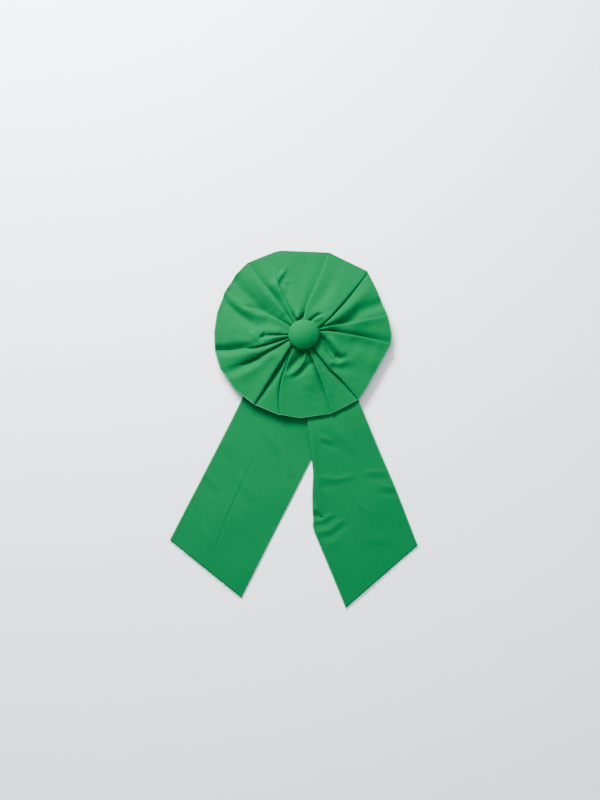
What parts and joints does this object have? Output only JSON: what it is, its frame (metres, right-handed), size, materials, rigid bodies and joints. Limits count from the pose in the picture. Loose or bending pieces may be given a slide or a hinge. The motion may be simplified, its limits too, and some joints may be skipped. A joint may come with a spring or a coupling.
{
  "type": "ribbon rosette bow",
  "caption": "Gift rosette of gathered green ribbon with a fabric-covered button, two slant-cut ribbon tails and a peel-and-stick back.",
  "frame": {"origin": "middle of the release liner's back face, on the rosette's axis", "axes": "+Z out of the rosette's front, -Y towards the tails, +X to the right seen from the front"},
  "size_m": [0.1644, 0.2416, 0.0161],
  "materials": {
    "ribbon_taffeta": "fine plain weave, low sheen",
    "button_fabric": "fine plain weave, smooth and matt",
    "green_thread": "twisted polyester thread",
    "shell_aluminium": "pressed, satin",
    "plate_aluminium": "pressed, satin",
    "shank_steel": "bright wire",
    "backing_felt": "pressed felt, matt",
    "adhesive_foam": "soft closed-cell foam, tacky face",
    "liner_paper": "silicone-coated, satin"
  },
  "bodies": {
    "bow": {"rosette_ribbon": "ribbon_taffeta", "rosette_seam_thread": "green_thread", "gathering_thread": "green_thread", "tail_tack_thread": "green_thread", "button_thread": "green_thread", "backing_disc": "backing_felt", "adhesive_pad": "adhesive_foam"},
    "left_tail": {"left_tail_ribbon": "ribbon_taffeta"},
    "right_tail": {"right_tail_ribbon": "ribbon_taffeta"},
    "button": {"button_fabric_cover": "button_fabric", "button_shell": "shell_aluminium", "button_back_plate": "plate_aluminium", "button_shank": "shank_steel"},
    "liner": {"release_liner": "liner_paper"}
  },
  "joints": [
    {"name": "left_tail_swing", "type": "hinge", "parent": "bow", "child": "left_tail", "pos_m": [-0.0015, -0.0275, 0.0031], "axis": [0, 0, 1], "range_deg": [-25, 8]},
    {"name": "right_tail_swing", "type": "hinge", "parent": "bow", "child": "right_tail", "pos_m": [-0.0015, -0.0275, 0.0038], "axis": [0, 0, 1], "range_deg": [-8, 25]},
    {"name": "button_turn", "type": "hinge", "parent": "bow", "child": "button", "pos_m": [0, 0, 0.0101], "axis": [0, 0, 1], "range_deg": [-20, 20], "stiffness_Nm_per_rad": 0.0002},
    {"name": "liner_peel", "type": "slide", "parent": "bow", "child": "liner", "axis": [0, 0, -1], "range_m": [0, 0.03]}
  ]
}
